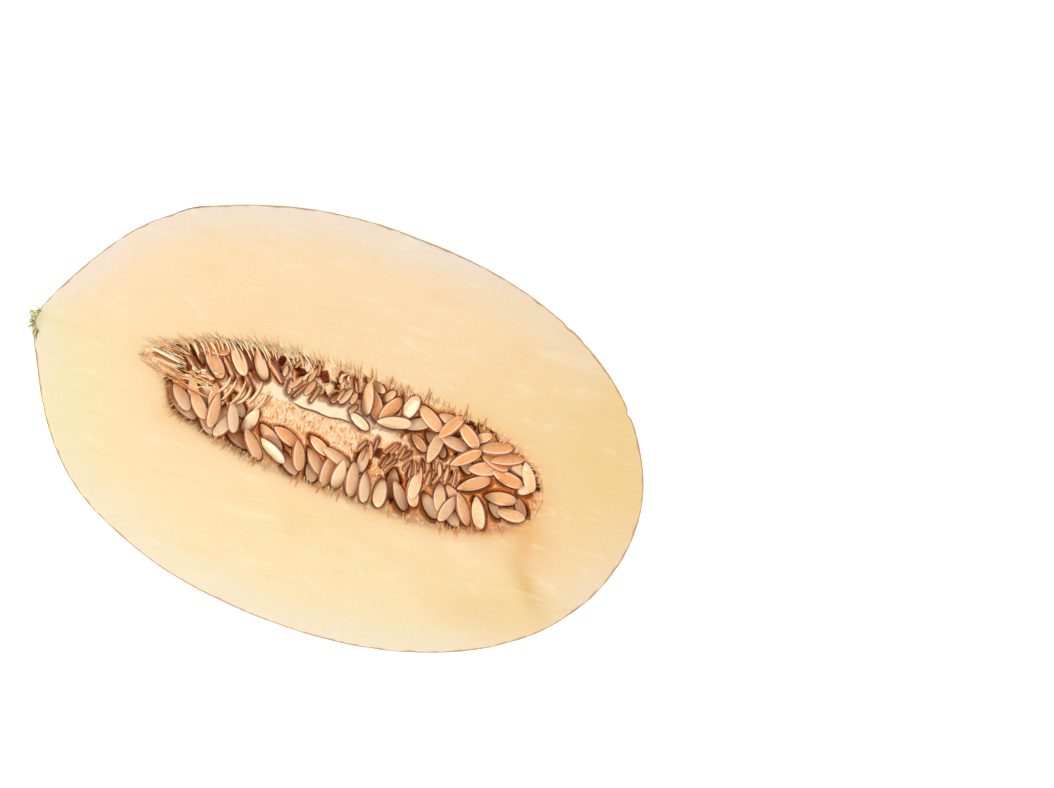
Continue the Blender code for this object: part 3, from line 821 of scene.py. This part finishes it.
for x in np.arange(-45, -27, 2.3):  # curved ribs across the ridge
    x, low, high = x + dice.gauss(0, 0.7), -4 + dice.gauss(0, 1.8), 3 + dice.gauss(0, 1.8)
    bow = dice.uniform(-1.3, -0.3)
    thread((x, low), (x + 3, high), dice.uniform(0.4, 0.7), dice.uniform(0, 0.3), bow, True, -0.9)
    # a thin dark thread beside each rib: painted shadow
    thread((x + 0.9, low), (x + 3.8, high), 0.2, 0.85, bow, True, -0.7)
for _ in range(36):  # tangled short strands nearer the stem end, and between the small seeds at +Y
    for middle, spread, way in (((-53, 0), (7, 4), (-60, 40)), ((-11, 14.5), (11, 3), (60, 130))):
        place = middle[0] + dice.uniform(-1, 1) * spread[0], middle[1] + dice.uniform(-1, 1) * spread[1]
        heading, length = math.radians(dice.uniform(*way)), dice.uniform(1.8, 4)
        end = place[0] + length * math.cos(heading), place[1] + length * math.sin(heading)
        clear = all(math.dist(place, hole) > 1.8 and math.dist(end, hole) > 1.8 for hole in HOLLOWS)
        if clear:
            tone = dice.choice((0.0, 0.2, 0.35, 0.6))
            thread(place, end, dice.uniform(0.3, 0.6), tone, dice.gauss(0, 0.5), True, -0.6)
for _ in range(6):  # strands that sweep along the ridge from the stem end
    start = dice.uniform(-68, -56), dice.uniform(-5, 1)
    end = start[0] + dice.uniform(8, 18), start[1] + dice.uniform(-3, 1)
    thick, tone, bow = dice.uniform(0.3, 0.5), dice.choice((0.25, 0.5, 0.8)), dice.gauss(0, 0.6)
    thread(start, end, thick, tone, bow, True, -0.5)
# the bundle: a pale spindle, a brown one and a tan one, then the fine threads over them
thread((-74.5, 4.2), (-61, 2.4), 0.75, 0.0, 0.3, True, 0.05)
thread((-73.5, 2.6), (-61.5, 1.4), 0.7, 0.9, 0.3, True, 0)
thread((-73, 1.2), (-61.5, 0.4), 0.6, 0.3, 0.2, True, 0)
for _ in range(24):
    start = -60 + dice.uniform(-2, 1), dice.uniform(-4.5, 7.5)
    end = -69 - dice.uniform(0, 8), start[1] * 0.85 + dice.uniform(0.5, 3.5)
    thread(start, end, dice.uniform(0.12, 0.3), dice.choice((0.05, 0.3, 0.7)), dice.gauss(0, 0.4))


def thread_material():
    """Wet plant fibre: cream, or orange-brown where juice has dried in it."""
    made, tree, shader = new_material(
        "wet_pulp_threads", Roughness=0.45, IOR=1.36, Subsurface_Weight=0.3, Subsurface_Scale=1 * MM
    )
    tone = amount_of(tree, "tone")
    base = ramp(tree, tone, (0.0, "FFE8C6"), (0.35, "FACB8C"), (0.7, "DC8840"), (1.0, "8E3C0A"))
    tree.links.new(base, shader.inputs["Base Color"])
    return made


points_each = THREAD_SIDES * (THREAD_RINGS + 1)
firsts = range(0, len(thread_points), points_each)
make_piece(
    "pulp_threads",
    np.array(thread_points) * MM + (0, 0, CUT),
    [face for first in firsts for face in tube_faces(THREAD_RINGS, THREAD_SIDES, first)],
    [thread_material()],
    "seed_pulp",
    tone=thread_tones,
)


# ==== Stem stub =========================================================================================
# What is left of the dried stem, cut through with the fruit: an olive stub in its socket, frayed at the
# outer end into green and brown shreds. It grows out of the fruit's stem end.
STUB_STEPS, STUB_SIDES = 14, 24
SHREDS, SHRED_THICKNESS = 64, 0.42 * MM
stem_low, stem_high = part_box("stem_stub")


def stem_material():
    """Dry stem: pale olive green to brown, with fibres along it."""
    made, tree, shader = new_material("dried_melon_stem", Roughness=0.8, IOR=1.45)
    place = node(tree, "TexCoord").outputs["Object"]
    fibre = noise_of(tree, scaled(tree, place, (0.2, 1, 1)), 0.5 * MM, 3.0)
    mixed = calculate(tree, "MULTIPLY_ADD", fibre, 0.6, amount_of(tree, "tone"))
    base = ramp(tree, mixed, (0.2, "E0E2AE"), (0.45, "C0C684"), (0.7, "BE9E62"), (1.0, "7A5428"))
    tree.links.new(base, shader.inputs["Base Color"])
    bump(tree, shader, fibre, 0.9, 0.3 * MM)
    return made


def stem_stub():
    radius = stem_high.z - stem_low.z
    points, tones = [], []
    for k in range(STUB_STEPS + 3):
        t = min(max((k - 1) / STUB_STEPS, 0), 1)
        x = stem_low.x + (stem_high.x - stem_low.x) * t
        size = 0 if k in (0, STUB_STEPS + 2) else radius * (0.78 + 0.2 * t)
        for n in range(STUB_SIDES):
            angle = n / STUB_SIDES * 2 * math.pi
            bumpy = size * (1 + 0.08 * math.sin(5 * angle) * (1 - t))
            up = min(math.sin(angle), 0) if n else 0
            points.append((x, bumpy * math.cos(angle), CUT - 0.05 * MM + bumpy * up))
            tones.append(0.25 if up == 0 else 0.1)
    faces = tube_faces(STUB_STEPS + 2, STUB_SIDES)
    for _ in range(SHREDS):  # at the outer end, and some that lie along the edge of the cut
        aside = dice.uniform(-4.6, 3)
        start = Vector((0, aside * MM, CUT + dice.uniform(-0.6, 0.35) * MM))
        start.x = stem_low.x + (1.5 + 0.14 * aside**2) * MM
        heading = math.radians(dice.uniform(150, 285))
        run = Vector((math.cos(heading), math.sin(heading), dice.uniform(-0.4, 0.1)))
        run *= dice.uniform(1.5, 3.8) * MM
        side = run.cross(Vector((0, 0, 1))).normalized()
        first, tone = len(points), dice.choice((-0.15, -0.05, 0.1, 0.6))
        for t in (0, 0.3, 0.6, 0.85, 1):
            middle = start + run * t + side * 0.5 * MM * math.sin(3 * t)
            thick = SHRED_THICKNESS * (1 - t) ** 0.7 + 0.02 * MM
            for n in range(4):
                angle = n * math.pi / 2
                up = Vector((0, 0, 0.5 * thick * math.sin(angle)))
                points.append(middle + side * thick * math.cos(angle) + up)
                tones.append(tone)
        faces += tube_faces(4, 4, first)
    make_piece(
        "frayed_stem_stub",
        np.array(points),
        faces,
        [stem_material()],
        "dried_stem",
        None,
        ["stem_stub"],
        tone=tones,
    )


stem_stub()


# ==== Camera, light and floor ============================================================================
# Plain studio setting: a white floor, two soft lights from opposite sides, white surroundings, and a
# camera that looks straight down.
CAMERA_HEIGHT = 1.7
VIEW_WIDTH = 394.4 * MM  # how much of the cut face's plane the camera sees
TURN = math.radians(20)  # from +X to the right side of the view


def studio():
    right = Vector((math.cos(TURN), math.sin(TURN), 0))
    up = Vector((-math.sin(TURN), math.cos(TURN), 0))
    lens = bpy.data.cameras.new("camera")
    lens.sensor_width = 36
    lens.lens = 36 * CAMERA_HEIGHT / VIEW_WIDTH
    camera = bpy.data.objects.new("camera", lens)
    bpy.context.scene.collection.objects.link(camera)
    middle = Vector((0, 0, CUT)) + right * 72.7 * MM + up * 11.8 * MM
    camera.matrix_world = Matrix((right, up, Vector((0, 0, 1)))).transposed().to_4x4()
    camera.location = middle + Vector((0, 0, CAMERA_HEIGHT))
    bpy.context.scene.camera = camera

    for name, aside, above, height, size, power in (
        ("key_light", -0.75, -0.6, 0.9, 0.5, 10.8),
        ("fill_light", 0.8, 0.5, 1.1, 1.4, 3.8),
    ):
        lamp = bpy.data.lights.new(name, "AREA")
        lamp.size = size
        lamp.energy = power
        light = bpy.data.objects.new(name, lamp)
        bpy.context.scene.collection.objects.link(light)
        light.location = right * aside + up * above + Vector((0, 0, height))
        light.rotation_euler = (Vector((0, 0, CUT)) - light.location).to_track_quat("-Z", "Y").to_euler()

    world = bpy.data.worlds.new("studio")
    bpy.context.scene.world = world
    world.use_nodes = True
    background = world.node_tree.nodes["Background"]
    background.inputs["Color"].default_value = (1, 1, 1, 1)
    background.inputs["Strength"].default_value = 0.583
    bpy.context.scene.view_settings.view_transform = "Standard"

    glow = {"Emission_Color": (1, 1, 1, 1), "Emission_Strength": 0.45}
    made, tree, shader = new_material("lit_white_floor", Roughness=0.9, **glow)
    grain = node(tree, "TexNoise", {"Scale": 60.0, "Detail": 2.0}).outputs[0]
    paper = ramp(tree, grain, (0.3, "FAFAF9"), (0.7, "FFFFFF"))
    tree.links.new(paper, shader.inputs["Base Color"])
    mesh = bpy.data.meshes.new("floor")
    mesh.from_pydata([(-6, -6, 0), (6, -6, 0), (6, 6, 0), (-6, 6, 0)], [], [(0, 1, 2, 3)])
    mesh.materials.append(made)
    floor = bpy.data.objects.new("floor", mesh)
    bpy.context.scene.collection.objects.link(floor)


studio()
